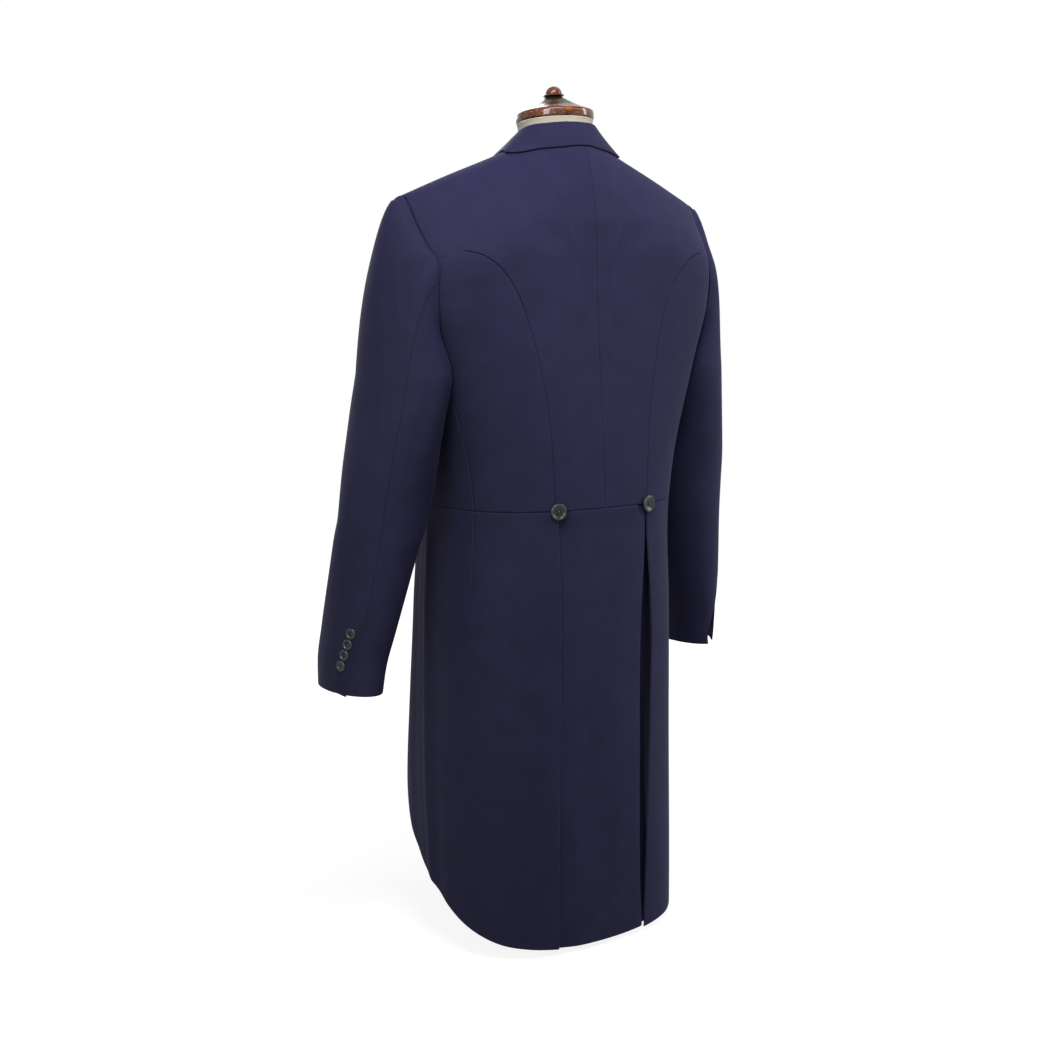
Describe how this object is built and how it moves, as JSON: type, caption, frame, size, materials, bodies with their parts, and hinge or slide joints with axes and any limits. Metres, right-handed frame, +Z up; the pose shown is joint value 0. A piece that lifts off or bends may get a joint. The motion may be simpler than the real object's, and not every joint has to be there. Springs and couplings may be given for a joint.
{
  "type": "morning coat on dress form",
  "caption": "Tailored morning coat with peaked lapels, cut-away front skirts and a pleated back skirt, standing on a limbless dress form with a turned neck cap, pole and round base",
  "frame": {"origin": "centre of the underside of the stand's base, on the floor, under the neck", "axes": "+Z up, the wearer's front faces -Y, the wearer's left is +X"},
  "size_m": [0.6037, 0.2742, 1.0914],
  "materials": {
    "navy_worsted": "matte worsted wool with a faint sheen",
    "dark_horn": "polished dark horn",
    "ecru_linen": "plain woven linen cover",
    "varnished_walnut": "glossy clear varnish",
    "dark_lacquer": "polished dark metal",
    "brushed_steel": "brushed steel"
  },
  "bodies": {
    "root": {"back_left": "navy_worsted", "back_right": "navy_worsted", "side_back_left": "navy_worsted", "side_back_right": "navy_worsted", "front_left": "navy_worsted", "front_right": "navy_worsted", "lapel_left": "navy_worsted", "lapel_right": "navy_worsted", "collar": "navy_worsted", "sleeve_left_upper": "navy_worsted", "sleeve_left_under": "navy_worsted", "sleeve_right_upper": "navy_worsted", "sleeve_right_under": "navy_worsted", "skirt_left": "navy_worsted", "skirt_right": "navy_worsted", "skirt_back": "navy_worsted", "back_button_left": "dark_horn", "back_button_right": "dark_horn", "cuff_button_left_1": "dark_horn", "cuff_button_left_2": "dark_horn", "cuff_button_left_3": "dark_horn", "cuff_button_left_4": "dark_horn", "cuff_button_right_1": "dark_horn", "cuff_button_right_2": "dark_horn", "cuff_button_right_3": "dark_horn", "cuff_button_right_4": "dark_horn", "front_button": "dark_horn", "form_torso": "ecru_linen", "neck_cap": "varnished_walnut", "cap_cone": "dark_lacquer", "cap_knob": "varnished_walnut", "pole": "brushed_steel", "stand_base": "brushed_steel"}
  },
  "joints": []
}
